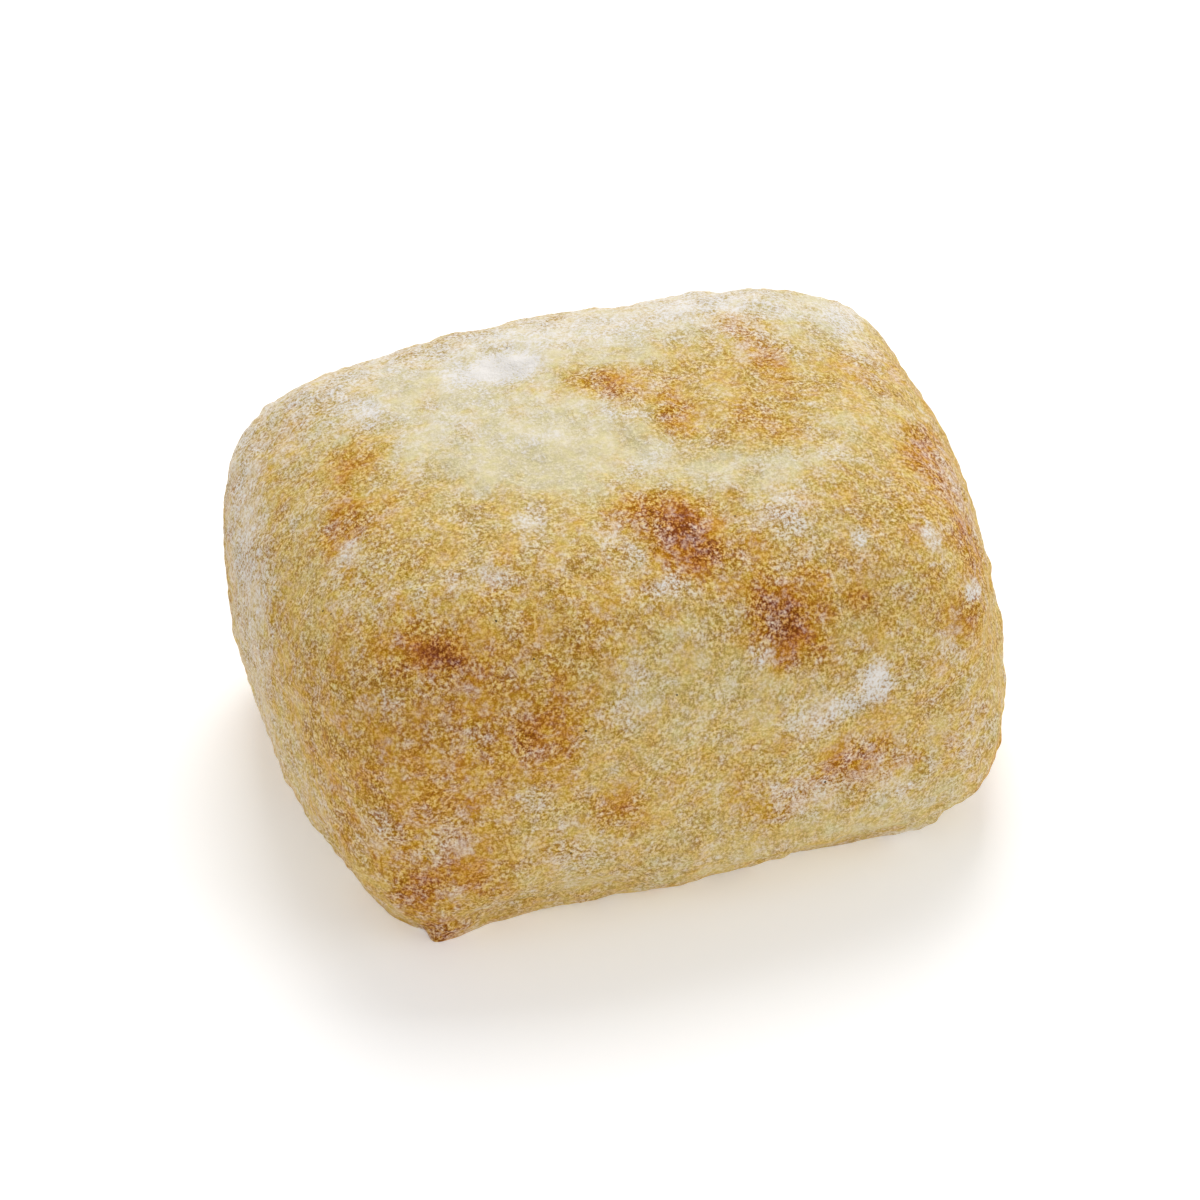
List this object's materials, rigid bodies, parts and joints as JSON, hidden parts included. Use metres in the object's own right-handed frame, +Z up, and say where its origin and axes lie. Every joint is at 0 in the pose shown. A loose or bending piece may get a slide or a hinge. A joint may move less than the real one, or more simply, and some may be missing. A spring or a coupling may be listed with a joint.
{
  "type": "ciabatta bread roll",
  "caption": "Small rectangular ciabatta bread roll, puffed and unevenly toasted, dusted with flour, with a flat base and a nib at one corner.",
  "frame": {"origin": "on the surface that the roll rests on, under the middle of its bounding box", "axes": "+X along the roll's length, +Z up out of its flat base, -Y the side whose left corner ends in a small nib of dough"},
  "size_m": [0.1054, 0.0812, 0.0564],
  "materials": {
    "crust": "matte baked crust, pale golden with toasted spots and flour"
  },
  "bodies": {
    "root": {"roll": "crust"}
  },
  "joints": []
}
